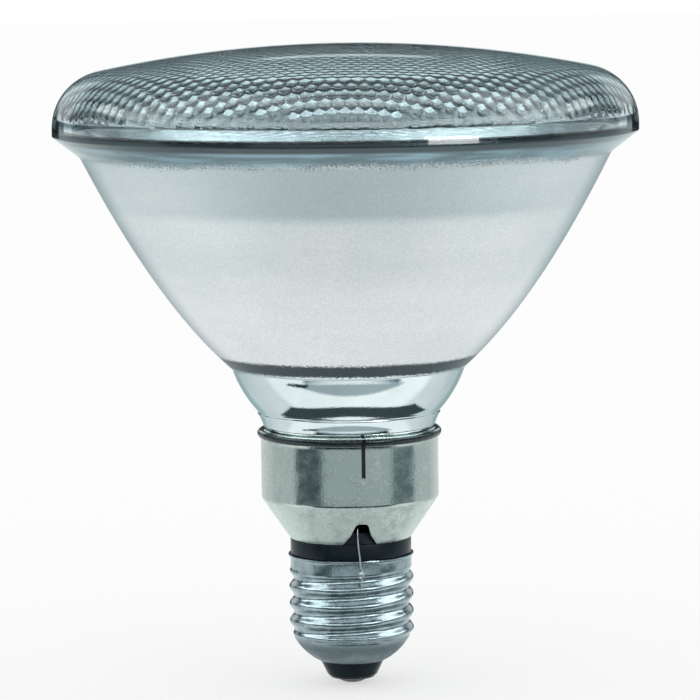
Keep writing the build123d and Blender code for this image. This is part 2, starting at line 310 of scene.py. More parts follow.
def finish_piece(node, mesh, finishes, sharp=SHARP_EDGE, order=None):
    """Puts a mesh in the scene as the piece that stands for a solid; the order is each face's finish."""
    mesh.name = node
    mesh.materials.clear()
    for finish in finishes:
        mesh.materials.append(finish)
    if order:
        mesh.polygons.foreach_set("material_index", order)
    mesh.polygons.foreach_set("use_smooth", [True] * len(mesh.polygons))
    mesh.set_sharp_from_angle(angle=math.radians(sharp))
    piece = put_in_scene(node, mesh)
    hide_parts(node)
    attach(piece, "root")
    return piece


def plain_mesh(bm, name):
    """Mesh from a finished shape."""
    mesh = bpy.data.meshes.new(name)
    bm.to_mesh(mesh)
    bm.free()
    return mesh


def closed_mesh(bm, name):
    """Mesh from a closed shape with its faces turned outwards."""
    bmesh.ops.remove_doubles(bm, verts=bm.verts, dist=WELD)
    bmesh.ops.recalc_face_normals(bm, faces=bm.faces)
    return plain_mesh(bm, name)


def turned_piece(node, path, finish, loop=False, sharp=SHARP_EDGE):
    """Piece turned about the axis from a path."""
    bm = bmesh.new()
    lathe(bm, path, bpy.context.scene.bulb_studio.steps, loop)
    finish_piece(node, closed_mesh(bm, node), [finish], sharp)


def baked(piece):
    """Plain mesh of an object with its modifiers applied; the object is removed."""
    graph = bpy.context.evaluated_depsgraph_get()
    mesh = bpy.data.meshes.new_from_object(piece.evaluated_get(graph))
    piece.modifiers.clear()
    bpy.data.objects.remove(piece)
    return mesh


def dress(node, finish):
    """Finish on a solid that keeps its own mesh."""
    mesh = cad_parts[node].data
    mesh.materials.clear()
    mesh.materials.append(finish)


def connect(socket, value):
    """Gives a socket its value, or a link where the value is another socket."""
    if isinstance(value, bpy.types.NodeSocket):
        socket.id_data.links.new(value, socket)
    else:
        socket.default_value = value


def put(tree, kind, inputs=None, **settings):
    """Node with its settings, and with inputs that are values or links."""
    made = tree.nodes.new(kind)
    for name, value in settings.items():
        setattr(made, name, value)
    for name, value in (inputs or {}).items():
        connect(made.inputs[name], value)
    return made


def join(kind, inputs, **settings):
    """Node in the tree of the sockets that it is linked to."""
    tree = next(value.id_data for value in inputs.values() if isinstance(value, bpy.types.NodeSocket))
    return put(tree, kind, inputs, **settings)


def geometry(kind, inputs, **settings):
    """First output of a geometry node."""
    return join("GeometryNode" + kind, inputs, **settings).outputs[0]


def maths(operation, first, second=0.0, third=0.0):
    """Result of a math node."""
    return join("ShaderNodeMath", {0: first, 1: second, 2: third}, operation=operation).outputs[0]


def times(first, *others):
    """Product of values."""
    for value in others:
        first = maths("MULTIPLY", first, value)
    return first


def vector(**parts):
    """Vector with its parts named X, Y and Z."""
    return join("ShaderNodeCombineXYZ", parts).outputs[0]


def distance(place):
    """Length of a vector."""
    return join("ShaderNodeVectorMath", {0: place}, operation="LENGTH").outputs["Value"]


def ramp(value, low, high, to_low=0.0, to_high=1.0):
    """Value mapped smoothly from one range to another and held at the ends."""
    span = {"Value": value, "From Min": low, "From Max": high, "To Min": to_low, "To Max": to_high}
    return join("ShaderNodeMapRange", span, interpolation_type="SMOOTHSTEP").outputs["Result"]


def past(value, limit, border, before=0.0, beyond=1.0):
    """Number that changes where a value passes a limit, within a border given as steps from the limit."""
    return ramp(value, limit + border[0], limit + border[1], before, beyond)


def within(value, low, high, soft):
    """Mask of a range with soft ends."""
    border = (-soft, soft)
    return times(past(value, low, border), past(value, high, border, before=1.0, beyond=0.0))


def by_mask(mask, off, on):
    """Number that goes with a mask."""
    return ramp(mask, 0.0, 1.0, off, on)


# Numbers of the mix node's sockets for a factor and two colours, and of its colour output
MIX_INPUTS = (0, 6, 7)
MIX_OUTPUT = 2


def blend(factor, first, second, way="MIX"):
    """Colour mixed by a factor."""
    inputs = dict(zip(MIX_INPUTS, (factor, first, second)))
    return join("ShaderNodeMix", inputs, data_type="RGBA", blend_type=way).outputs[MIX_OUTPUT]


def tinted(first, second):
    """Product of two colours."""
    return blend(1.0, first, second, "MULTIPLY")


def rgba(colour, gain=1.0):
    """Four-part colour from a property, made lighter or darker."""
    return (*(min(1.0, part * gain) for part in colour), 1.0)


def shades(factor, colour, dark, light):
    """Colour between a darker and a lighter shade of itself."""
    return blend(factor, rgba(colour, dark), rgba(colour, light))


def relief(height, strength, depth):
    """Normal from a height."""
    inputs = {"Height": height, "Strength": strength, "Distance": depth}
    return join("ShaderNodeBump", inputs).outputs["Normal"]


def place_in(tree):
    """Place on the object."""
    return put(tree, "ShaderNodeTexCoord").outputs["Object"]


def height_in(tree):
    """Level on the object."""
    return join("ShaderNodeSeparateXYZ", {"Vector": place_in(tree)}).outputs["Z"]


def stretched(tree, scale):
    """Place on the object with its parts scaled."""
    return join("ShaderNodeMapping", {"Vector": place_in(tree), "Scale": scale}).outputs["Vector"]


def cloudy(place, scale, detail, roughness=0.5):
    """Cloudy noise."""
    inputs = {"Vector": place, "Scale": scale, "Detail": detail, "Roughness": roughness}
    return join("ShaderNodeTexNoise", inputs).outputs["Fac"]


INPUT_KINDS = {float: "NodeSocketFloat", int: "NodeSocketInt", type(None): "NodeSocketMaterial"}
OUTPUT_KINDS = {"ShaderNodeTree": "NodeSocketFloat", "GeometryNodeTree": "NodeSocketGeometry"}


def group_tree(name, kind, inputs, outputs):
    """Node group with named sockets; returns the tree, what it is given and what it gives."""
    tree = bpy.data.node_groups.new(name, kind)
    for title, default in inputs.items():
        made = tree.interface.new_socket(title, in_out="INPUT", socket_type=INPUT_KINDS[type(default)])
        if default is not None:
            made.default_value = default
    for title in outputs:
        tree.interface.new_socket(title, in_out="OUTPUT", socket_type=OUTPUT_KINDS[kind])
    return tree, tree.nodes.new("NodeGroupInput").outputs, tree.nodes.new("NodeGroupOutput").inputs


def grain_group(name):
    """Fine pressed grain: a fine height and a cloudy mask."""
    scales = {"Fine scale": 1500.0, "Cloud scale": 120.0}
    tree, given, out = group_tree(name, "ShaderNodeTree", scales, ("Height", "Cloud"))
    connect(out["Height"], cloudy(place_in(tree), given["Fine scale"], detail=3.0, roughness=0.6))
    connect(out["Cloud"], cloudy(place_in(tree), given["Cloud scale"], detail=4.0, roughness=0.55))
    return tree


# Fine rubbing in plate: stretch across the axis, scale of the noise and share of the height
RUB_STRETCH = (1.0, 1.0, 0.12)
RUB_SCALE = 2600.0
RUB_SHARE = 0.25


def mottle_group(name):
    """Mottled bloom of plated sheet: patches, spangle and fine rubbing."""
    scales = {"Patch scale": 260.0, "Spangle scale": 900.0}
    tree, given, out = group_tree(name, "ShaderNodeTree", scales, ("Patch", "Spangle", "Height"))
    patch = cloudy(place_in(tree), given["Patch scale"], detail=5.0, roughness=0.6)
    cells = {"Vector": place_in(tree), "Scale": given["Spangle scale"]}
    rub = cloudy(stretched(tree, RUB_STRETCH), RUB_SCALE, detail=2.0)
    connect(out["Patch"], patch)
    connect(out["Spangle"], join("ShaderNodeTexVoronoi", cells).outputs["Distance"])
    connect(out["Height"], maths("MULTIPLY_ADD", rub, RUB_SHARE, patch))
    return tree


def shared(tree, name, build, inputs):
    """Outputs of a shared group, which is built at its first use."""
    group = bpy.data.node_groups.get(name) or build(name)
    return put(tree, "ShaderNodeGroup", inputs, node_tree=group).outputs


def grain(tree, fine, cloud):
    """Pressed grain in a material, with the scales of its noise."""
    return shared(tree, "Pressed grain", grain_group, {"Fine scale": fine, "Cloud scale": cloud})


def mottle(tree, patch, spangle):
    """Plating mottle in a material, with the scales of its patches and its spangle."""
    return shared(tree, "Plating mottle", mottle_group, {"Patch scale": patch, "Spangle scale": spangle})


def material(name):
    """New material with an empty tree; returns it, its tree and its shader."""
    made = bpy.data.materials.new(name)
    made.use_nodes = True
    tree = made.node_tree
    tree.nodes.clear()
    shader = put(tree, "ShaderNodeBsdfPrincipled")
    put(tree, "ShaderNodeOutputMaterial", {"Surface": shader.outputs["BSDF"]})
    return made, tree, shader


def shade(shader, **values):
    """Values or links on a shader's sockets, with spaces written as underscores."""
    for name, value in values.items():
        connect(shader.inputs[name.replace("_", " ")], value)


# Ranges of noise that are spread over a change of colour or roughness
NOISE_WIDE = (0.3, 0.7)
NOISE_MIDDLE = (0.35, 0.65)
NOISE_SPECKS = (0.35, 0.68)
NOISE_LINES = (0.38, 0.62)
SPANGLE_RANGE = (0.1, 0.7)

GLASS_INDEX = 1.47
FUSED_LENS_BORDER = mm(0.4, 0.6)
FUSED_LENS_SHADE = 0.12


def clear_glass(name, colour, waviness, seam=None):
    """Clear pressed glass with a slightly uneven skin, dark just above a fused seam."""
    made, tree, shader = material(name)
    tone = rgba(colour)
    if seam is not None:
        above = past(height_in(tree), seam, FUSED_LENS_BORDER)
        tone = shades(above, colour, dark=FUSED_LENS_SHADE, light=1.0)
    pressed = grain(tree, fine=700.0, cloud=90.0)
    skin = relief(pressed["Cloud"], strength=waviness, depth=0.4 * MM)
    shade(shader, Base_Color=tone, Metallic=0.0, Roughness=0.0, Normal=skin)
    shade(shader, IOR=GLASS_INDEX, Transmission_Weight=1.0)
    return made


# Borders on the silvered glass: two from the flange's foot, one from the seam and three from the heel's top
BARE_BORDER = mm(-1.1, 0.8)
REFLECTION_BAND_BORDER = mm(-12.5, -9.5)
FUSED_BORDER = mm(-2.3, -1.7)
SMOOTH_BORDER = mm(0.5, 0.9)
PAINTED_RING_BORDER = mm(2.9, 3.6)
METAL_BORDER = mm(15.0, 26.0)

# Waves and grains that make those borders uneven
FLANGE_RAGS = mm(2.2, 4.2)
HEEL_RAGS = mm(0.5, 1.6)

# Parts of the view that get painted shade, from faces seen straight on (0) to faces seen edge on (1): the
# painted reflection band is strongest on the first, the painted dark edges on the last
FRONT_VIEW = (0.1, 0.7)
EDGE_SHADE_VIEW = (0.68, 0.94)

BAND_STRETCH = (0.08, 0.08, 1.0)
SPECK_TINT = (0.88, 0.895, 0.9, 1.0)
# Tint of the painted reflection band below the flange
REFLECTION_BAND_TINT = (0.68, 0.74, 0.75, 1.0)
# Tint of the painted dark edges
EDGE_SHADE_TINT = (0.42, 0.5, 0.51, 1.0)
GRAZING_TINT = (0.4, 0.5, 0.52, 1.0)


def silvered_glass(colours, seam, flange_level, heel_level):
    """Silver behind glass: bare at the flange, satin on the bowl, smooth on the heel, with grainy borders; a
    painted reflection band below the flange, a painted dark reflection ring at the heel's top and painted
    shade at the edges.
    """
    made, tree, shader = material("silvered glass")
    pressed = grain(tree, fine=2100.0, cloud=70.0)
    cloud, fine = pressed["Cloud"], pressed["Height"]
    flat = stretched(tree, BAND_STRETCH)
    height = height_in(tree)

    def ragged(waves, grains):
        """Height with waves and grains about it."""
        wavy = maths("MULTIPLY_ADD", maths("SUBTRACT", cloud, 0.5), waves, height)
        return maths("MULTIPLY_ADD", maths("SUBTRACT", fine, 0.5), grains, wavy)

    bare = past(ragged(*FLANGE_RAGS), flange_level, BARE_BORDER)
    worn = ragged(*HEEL_RAGS)
    smooth = past(worn, heel_level, SMOOTH_BORDER, before=1.0, beyond=0.0)
    # Painted reflection: a dark ring just under the heel's top where the satin ends, standing in for dark
    # surroundings mirrored in the kink
    ring = past(worn, heel_level, PAINTED_RING_BORDER, before=1.0, beyond=0.0)
    facing = put(tree, "ShaderNodeLayerWeight", {"Blend": 0.5}).outputs["Facing"]
    # Painted shade: darker edges where the glass is seen edge on
    painted_edge_shade = blend(ramp(facing, *EDGE_SHADE_VIEW), WHITE, EDGE_SHADE_TINT)
    # Painted reflection: a darker band below the flange, strongest on faces seen straight on, standing in for
    # dark surroundings mirrored in the bowl's top
    painted_reflection_band = past(height, flange_level, REFLECTION_BAND_BORDER)
    painted_reflection_band = times(painted_reflection_band, ramp(facing, *FRONT_VIEW, to_low=1.0, to_high=0.25))
    clouds = shades(ramp(cloud, *NOISE_WIDE), colours.satin, dark=0.93, light=1.06)
    bands = ramp(cloudy(flat, scale=110.0, detail=3.0), *NOISE_MIDDLE)
    satin = blend(0.5, clouds, shades(bands, colours.satin, dark=0.9, light=1.08))
    specks = blend(ramp(fine, *NOISE_SPECKS), SPECK_TINT, WHITE)
    for layer in (specks, blend(painted_reflection_band, WHITE, REFLECTION_BAND_TINT), painted_edge_shade):
        satin = tinted(satin, layer)
    mirror = shades(ramp(cloud, *NOISE_MIDDLE), colours.bright, dark=0.92, light=1.04)
    lines = ramp(cloudy(flat, scale=700.0, detail=2.0), *NOISE_LINES)
    streaks = shades(lines, colours.flange, dark=0.7, light=1.45)
    flange = blend(past(height, seam, FUSED_BORDER), streaks, rgba(colours.flange, gain=0.22))
    # The dark ring laid on here is a painted reflection
    tone = blend(ring, blend(bare, satin, flange), rgba(colours.ring))
    tone = blend(smooth, tone, tinted(mirror, painted_edge_shade))
    rough = ramp(fine, *NOISE_WIDE, to_low=0.36, to_high=0.46)
    rough = times(rough, by_mask(bare, off=1.0, on=0.28), by_mask(smooth, off=1.0, on=0.12))
    skin = times(fine, by_mask(smooth, off=1.0, on=0.06))
    metal = past(height, heel_level, METAL_BORDER, before=0.3, beyond=0.64)
    shade(shader, Base_Color=tone, Roughness=rough, Normal=relief(skin, strength=0.2, depth=0.5 * MM))
    shade(shader, Metallic=maths("MAXIMUM", smooth, metal), Specular_Tint=GRAZING_TINT)
    shade(shader, Coat_Weight=by_mask(bare, off=0.2, on=0.7), Coat_Roughness=0.06)
    return made


FUSED_SEAL_BORDER = mm(-1.7, -1.0)
LEVEL_PARTS = (1, 1, 0)


def seal_face(colours, rim):
    """Ground face where lens and reflector are fused, dark along its outer edge."""
    made, tree, shader = material("fused seal")
    pressed = grain(tree, fine=1200.0, cloud=150.0)
    ground = shades(pressed["Cloud"], colours.seal, dark=0.8, light=1.1)
    level = join("ShaderNodeVectorMath", {0: place_in(tree), 1: LEVEL_PARTS}, operation="MULTIPLY")
    edge = past(distance(level.outputs[0]), rim, FUSED_SEAL_BORDER)
    tone = blend(edge, ground, rgba(colours.flange, gain=0.1))
    skin = relief(pressed["Height"], strength=0.3, depth=0.4 * MM)
    shade(shader, Base_Color=tone, Metallic=0.0, Roughness=0.5, Normal=skin)
    return made


def mirror_coat(colours):
    """Silver on the inside of the bowl."""
    made, tree, shader = material("silver coat")
    pressed = grain(tree, fine=900.0, cloud=80.0)
    tone = shades(pressed["Cloud"], colours.coat, dark=0.95, light=1.02)
    skin = relief(pressed["Height"], strength=0.1, depth=0.3 * MM)
    shade(shader, Base_Color=tone, Metallic=1.0, Roughness=0.1, Normal=skin)
    return made


CONE_BORDER = mm(-0.6, 0.4)
# Painted shade on the skirt's wall, against which the cone stays lighter
WALL_SHADE_TINT = (0.72, 0.72, 0.72, 1.0)


def plated_sheet(colours, cone_level):
    """Bright plated sheet with a mottled bloom, duller on the cone, and painted shade that darkens the wall
    so the cone reads lighter.
    """
    made, tree, shader = material("plated sheet")
    bloom = mottle(tree, patch=420.0, spangle=1900.0)
    patches = shades(ramp(bloom["Patch"], *NOISE_MIDDLE), colours.plate, dark=0.8, light=1.1)
    tone = blend(ramp(bloom["Spangle"], *SPANGLE_RANGE), patches, rgba(colours.plate, gain=0.84))
    cone = past(height_in(tree), cone_level, CONE_BORDER, before=1.0, beyond=0.0)
    # Painted shade: the wall is darkened against the cone, standing in for the light that the cone catches
    tone = tinted(tone, blend(cone, WALL_SHADE_TINT, WHITE))
    rough = ramp(bloom["Patch"], *NOISE_WIDE, to_low=0.12, to_high=0.24)
    rough = times(rough, by_mask(cone, off=1.0, on=2.1))
    skin = relief(bloom["Height"], strength=0.16, depth=0.3 * MM)
    shade(shader, Base_Color=tone, Metallic=1.0, Roughness=rough, Normal=skin)
    return made


NOSE_BORDER = mm(-1.5, 1.5)


def nickel_plate(colours, nose_level):
    """Bright nickel plate of the screw shell, duller on its rounded nose and darkened there by painted shade.
    """
    made, tree, shader = material("nickel plate")
    bloom = mottle(tree, patch=420.0, spangle=1200.0)
    height = height_in(tree)
    patches = shades(ramp(bloom["Patch"], *NOISE_MIDDLE), colours.nickel, dark=0.8, light=1.08)
    # Painted shade: the nose below the screw is darkened
    above = past(height, nose_level, NOSE_BORDER)
    tone = blend(above, rgba(colours.nickel, gain=0.5), patches)
    rough = ramp(bloom["Patch"], *NOISE_WIDE, to_low=0.15, to_high=0.26)
    rough = times(rough, past(height, nose_level, NOSE_BORDER, before=2.4, beyond=1.0))
    skin = relief(bloom["Height"], strength=0.2, depth=0.4 * MM)
    shade(shader, Base_Color=tone, Metallic=1.0, Roughness=rough, Normal=skin)
    return made


def dull_metal(name, colour, roughness):
    """Grey metal with a cloudy surface, for solder, wire and inner metal."""
    made, tree, shader = material(name)
    bloom = mottle(tree, patch=900.0, spangle=2200.0)
    tone = shades(bloom["Patch"], colour, dark=0.75, light=1.15)
    rough = ramp(bloom["Patch"], *NOISE_WIDE, to_low=roughness * 0.8, to_high=roughness * 1.25)
    skin = relief(bloom["Height"], strength=0.3, depth=0.3 * MM)
    shade(shader, Base_Color=tone, Metallic=1.0, Roughness=rough, Normal=skin)
    return made


def black_finish(name, colour, roughness, grit, gloss=0.5):
    """Black plastic, black glass or cement with a faint surface."""
    made, tree, shader = material(name)
    pressed = grain(tree, fine=1600.0, cloud=220.0)
    tone = shades(pressed["Cloud"], colour, dark=0.8, light=1.6)
    rough = ramp(pressed["Cloud"], *NOISE_WIDE, to_low=roughness * 0.8, to_high=roughness * 1.3)
    skin = relief(pressed["Height"], strength=grit, depth=0.3 * MM)
    shade(shader, Base_Color=tone, Metallic=0.0, Roughness=rough, Normal=skin)
    shade(shader, Specular_IOR_Level=gloss)
    return made


def give(out, shape, finish):
    """Real geometry with its material, as the result of a geometry tree."""
    solid = geometry("RealizeInstances", {"Geometry": shape})
    connect(out["Geometry"], geometry("SetMaterial", {"Geometry": solid, "Material": finish}))


def grown(name, tree, values):
    """Plain mesh that a geometry tree gives for named values."""
    holder = put_in_scene(name, bpy.data.meshes.new(name))
    modifier = holder.modifiers.new(name, "NODES")
    modifier.node_group = tree
    for socket in tree.interface.items_tree:
        if socket.in_out == "INPUT":
            modifier[socket.identifier] = values[socket.name]
    return baked(holder)


# Subdivision of a bump's six triangles, and the distance within which neighbouring bumps are joined
STIPPLE_LEVEL = 1
STIPPLE_MERGE = 0.002 * MM


def stipple_tree():
    """Geometry nodes that lay a flat field of round bumps in staggered rows."""
    sizes = dict.fromkeys(("Pitch", "Bump radius", "Reach", "Turn"), 0.01)
    inputs = {**sizes, "Rows": 41, "Material": None}
    tree, given, out = group_tree("Lens stipple", "GeometryNodeTree", inputs, ["Geometry"])
    pitch, bump, rows = given["Pitch"], given["Bump radius"], given["Rows"]
    row = times(pitch, math.sqrt(3))
    gaps = maths("SUBTRACT", rows, 1)
    size = {"Size X": times(gaps, pitch), "Size Y": times(gaps, row)}
    grid = geometry("MeshGrid", {**size, "Vertices X": rows, "Vertices Y": rows})
    half = vector(X=times(pitch, 0.5), Y=times(row, 0.5))
    staggered = geometry("Transform", {"Geometry": grid, "Translation": half})
    both = join("GeometryNodeJoinGeometry", {"Geometry": grid})
    connect(both.inputs["Geometry"], staggered)
    away = distance(put(tree, "GeometryNodeInputPosition").outputs[0])
    outside = {"Geometry": both.outputs[0], "Selection": maths("GREATER_THAN", away, given["Reach"])}
    centres = geometry("DeleteGeometry", outside, domain="POINT")
    corner = maths("DIVIDE", pitch, math.sqrt(3))
    cell = geometry("MeshCircle", {"Vertices": 6, "Radius": corner}, fill_type="TRIANGLE_FAN")
    upright = geometry("Transform", {"Geometry": cell, "Rotation": (0, 0, math.pi / 6)})
    fine = geometry("SubdivideMesh", {"Mesh": upright, "Level": STIPPLE_LEVEL})

    def cap_height(radius):
        """Height of a bump's round face over its centre of curvature."""
        rest = maths("SUBTRACT", times(bump, bump), times(radius, radius))
        return maths("SQRT", rest)

    sink = vector(Z=maths("SUBTRACT", cap_height(corner), cap_height(away)))
    lenslet = geometry("SetPosition", {"Geometry": fine, "Offset": sink})
    field = geometry("InstanceOnPoints", {"Points": centres, "Instance": lenslet})
    real = geometry("RealizeInstances", {"Geometry": field})
    joined = geometry("MergeByDistance", {"Geometry": real, "Distance": STIPPLE_MERGE})
    swung = {"Geometry": joined, "Rotation": vector(Z=given["Turn"])}
    give(out, geometry("Transform", swung), given["Material"])
    return tree


# Plain hem between the outermost bumps and the bare shoulder, as a share of the pitch
STIPPLE_HEM = 0.75

# Rows of the stipple's grid over those that its reach needs
SPARE_ROWS = 3


def lens_shape(glass):
    """Shoulder centre and height of the lens, dome radius and centre, and the lean where they meet."""
    across = glass.rim - glass.shoulder
    edge = glass.seam + glass.lens_edge
    rise = glass.crown - edge
    dome = (across**2 + rise**2 - glass.shoulder**2) / (2 * (rise - glass.shoulder))
    centre = glass.crown - dome
    return across, edge, dome, centre, math.atan2(across, edge - centre)


class BULB_OT_lens(bpy.types.Operator):
    """Clear lens with a smooth outside and a stippled inside"""

    bl_idname = "bulb.lens"
    bl_label = "Lens"

    def execute(self, context):
        glass = context.scene.bulb_glass
        steps = context.scene.bulb_studio.steps
        across, edge, dome, centre, lean = lens_shape(glass)
        inner_bend = glass.shoulder - glass.lens_wall
        inner_dome = dome - glass.lens_wall
        colour = context.scene.bulb_colours.glass
        finish = clear_glass("clear lens glass", colour, waviness=0.03, seam=glass.seam)

        def on_inside(along, lift):
            """Radius and height at a distance along the inner face and a lift off it, and the lean there."""
            beyond = along - inner_dome * lean
            if beyond < 0:
                tilt, spread, base, bend = along / inner_dome, 0.0, centre, inner_dome
            else:
                tilt, spread, base, bend = lean + beyond / inner_bend, across, edge, inner_bend
            return spread + (bend + lift) * math.sin(tilt), base + (bend + lift) * math.cos(tilt), tilt

        values = {
            "Pitch": glass.pitch,
            "Bump radius": glass.bump,
            "Reach": glass.stipple,
            "Turn": glass.stipple_turn,
            "Rows": 2 * math.ceil(glass.stipple / glass.pitch) + SPARE_ROWS,
            "Material": finish,
        }
        bm = bmesh.new()
        bm.from_mesh(grown("stipple", stipple_tree(), values))
        bumps_end = len(bm.faces)
        border = [line for line in bm.edges if line.is_boundary]
        hem = glass.stipple + glass.pitch * STIPPLE_HEM
        ring = [bm.verts.new((hem * math.cos(a), hem * math.sin(a), 0)) for a in around(steps)]
        border += [bm.edges.new((ring[i - 1], ring[i])) for i in range(steps)]
        bmesh.ops.triangle_fill(bm, use_beauty=True, edges=border, normal=(0, 0, -1))
        hem_end = len(bm.faces)
        for vert in bm.verts:
            along = math.hypot(vert.co.x, vert.co.y)
            radius, height, _ = on_inside(along, vert.co.z)
            stretch = radius / max(along, WELD)
            vert.co = (vert.co.x * stretch, vert.co.y * stretch, height)
        hem_radius, hem_height, hem_tilt = on_inside(hem, 0.0)
        seam = glass.seam + SEAM_GAP
        path = [(hem_radius, hem_height)]
        path += arc_points((across, edge), inner_bend, QUARTER_TURN - hem_tilt, 0, steps=10)[1:]
        path += [(across + inner_bend, seam), (glass.rim, seam)]
        path += arc_points((across, edge), glass.shoulder, 0, QUARTER_TURN - lean, steps=24)
        path += arc_points((0, centre), dome, QUARTER_TURN - lean, QUARTER_TURN, steps=40)[1:-1]
        lathe(bm, path + [(0, glass.crown)], steps, loop=False)
        mesh = finish_piece("lens", closed_mesh(bm, "lens"), [finish], sharp=40).data
        for face in mesh.polygons[bumps_end:hem_end]:
            for loop in face.loop_indices:
                mesh.edges[mesh.loops[loop].edge_index].use_edge_sharp = False
        return {"FINISHED"}


# Leans of the reflector's wall away from upright: at the heel's ends, in the crease and at the neck's ends
HEEL_LEANS = (math.radians(-19), math.radians(-42))
CREASE_LEAN = math.radians(20)
NECK_LEANS = (math.radians(-30), math.radians(-14))

FLANGE_BENDS = mm(0.5, 2.2)
FLANGE_ROOT = 1.6 * MM
BARE_RISE = 0.5 * MM
PLUG_BENDS = mm(0.2, 1.6)
PLUG_STEP = 0.3 * MM
FLOOR_BENDS = mm(1.6)
CEMENT_DEPTH = 0.5 * MM
BOWL_ROWS = 48

# Finishes of the reflector's faces, and what tells them apart: upward parts of a normal and a depth
OUTSIDE, COAT, SEAL, CEMENT = range(4)
LEVEL_FACE = 0.9
UPWARD_FACE = 0.5
FACE_DEPTH = 0.1 * MM


def parabola(low, high):
    """Focal length of a parabola about the axis through two points, and its points by their radius."""
    focal = (high[0] ** 2 - low[0] ** 2) / (4 * (high[1] - low[1]))
    vertex = low[1] - low[0] ** 2 / (4 * focal)
    return focal, lambda radius: (radius, vertex + radius**2 / (4 * focal))


def bend_radius(leans, drop):
    """Radius of an arc between two leans that goes down by a drop."""
    return drop / abs(math.sin(leans[0]) - math.sin(leans[1]))


class BULB_OT_reflector(bpy.types.Operator):
    """Pressed glass bowl, silvered inside, with a clear flange, a satin bowl and a smooth heel"""

    bl_idname = "bulb.reflector"
    bl_label = "Reflector"

    def execute(self, context):
        glass = context.scene.bulb_glass
        colours = context.scene.bulb_colours
        seal_r = glass.rim - glass.seal
        bowl_r = glass.heel - glass.heel_wall
        bowl_low = glass.seam - glass.bowl_height
        focal, on_inner = parabola((bowl_r, bowl_low), (seal_r, glass.seam))

        def skin(radius):
            """Point of the outer face over a point of the inner one."""
            share = glass.bowl_wall / math.hypot(radius, 2 * focal)
            return radius * (1 + share), on_inner(radius)[1] - 2 * focal * share

        outer, on_outer = parabola(skin(bowl_r), skin(seal_r))
        root = glass.rim - glass.flange
        seam = glass.seam - SEAM_GAP
        neck_top = bowl_low - glass.heel_height
        under = foot("reflector")
        floor_level = under + glass.neck_floor
        cement_level = top("skirt") - CEMENT_DEPTH
        inner_neck = glass.neck - glass.neck_wall
        radii = stepped((root - FLANGE_ROOT,), (glass.heel,), BOWL_ROWS)
        bowl = [on_outer(radius) for (radius,) in radii] + [on_outer(glass.heel)]
        edge = (glass.rim, glass.seam - glass.flange_edge)
        flange = round_path([(glass.rim, seam), edge, on_outer(root), bowl[0]], FLANGE_BENDS, steps=8)[:-1]
        bowl_lean = -math.atan2(2 * outer, glass.heel)
        kink = leaning(bowl[-1], [bowl_lean, HEEL_LEANS[0]], [glass.heel_bend])
        heel_bend = bend_radius(HEEL_LEANS, kink[-1][1] - glass.crease)
        heel = leaning(kink[-1], HEEL_LEANS, [heel_bend], steps=24)
        crease = leaning(heel[-1], [HEEL_LEANS[1], CREASE_LEAN, NECK_LEANS[0]], [glass.crease_bend] * 2)
        neck_bend = bend_radius(NECK_LEANS, crease[-1][1] - top("skirt"))
        neck = leaning(crease[-1], NECK_LEANS, [neck_bend], steps=14)
        seat = (glass.neck_seat, neck[-1][1] - PLUG_STEP)
        plug = round_path([neck[-1], seat, (glass.neck_seat, under), (0, under)], PLUG_BENDS)[1:]
        floor = [(0, floor_level), (inner_neck, floor_level), (inner_neck, neck_top)]
        floor = round_path(floor, FLOOR_BENDS)
        inner_heel = bulged((inner_neck, neck_top), (bowl_r, bowl_low), glass.heel_arc, steps=14)[1:]
        radii = stepped((bowl_r,), (seal_r,), BOWL_ROWS)[1:]
        inside = [on_inner(radius) for (radius,) in radii] + [(seal_r, seam)]
        path = flange + bowl + kink + heel + crease + neck + plug + floor + inner_heel + inside
        bm = bmesh.new()
        lathe(bm, path, context.scene.bulb_studio.steps, loop=True)
        mesh = closed_mesh(bm, "reflector")

        def finish_of(face):
            """Number of a face's finish."""
            spot, facing = face.center, face.normal
            inward = facing.x * spot.x + facing.y * spot.y < 0 or facing.z > UPWARD_FACE
            if spot.z > glass.seam - FACE_DEPTH and facing.z > LEVEL_FACE:
                return SEAL
            if inward and math.hypot(spot.x, spot.y) < seal_r and spot.z > floor_level - FACE_DEPTH:
                return COAT
            return CEMENT if spot.z < cement_level else OUTSIDE

        finishes = [
            silvered_glass(colours, glass.seam, on_outer(root)[1] + BARE_RISE, kink[-1][1]),
            mirror_coat(colours),
            seal_face(colours, glass.rim),
            black_finish("dark cement", colours.cement, roughness=0.6, grit=0.4),
        ]
        order = [finish_of(face) for face in mesh.polygons]
        finish_piece("reflector", mesh, finishes, sharp=40, order=order)
        return {"FINISHED"}


# Rows of faces on the skirt: on the cone, on the wall under the slits and beside them
CONE_ROWS = 10
WALL_ROWS = 4
SLIT_ROWS = 8

# Steps across half the notch, and how far past it they go
NOTCH_STEPS = 40
NOTCH_MARGIN = 1.1

# Decimals of the angles of the skirt's columns, and the least step between two of them
ANGLE_DIGITS = 6
LEAST_STEP = 1e-4

NOTCH_BENDS = mm(2.5, 1.0)
LIP_END = math.radians(100)
SHEET_EDGE = 0.07 * MM
EDGE_ANGLE = math.radians(60)

# Darkened part of the lip, in radii of its roll
DARK_LIP = (0.1, 1.7)


def height_on(path, place):
    """Height of a path of rising points at one place; nothing outside it."""
    for (x0, y0), (x1, y1) in zip(path, path[1:]):
        if x0 <= place <= x1 and x1 > x0:
            return y0 + (y1 - y0) * (place - x0) / (x1 - x0)
    return 0.0


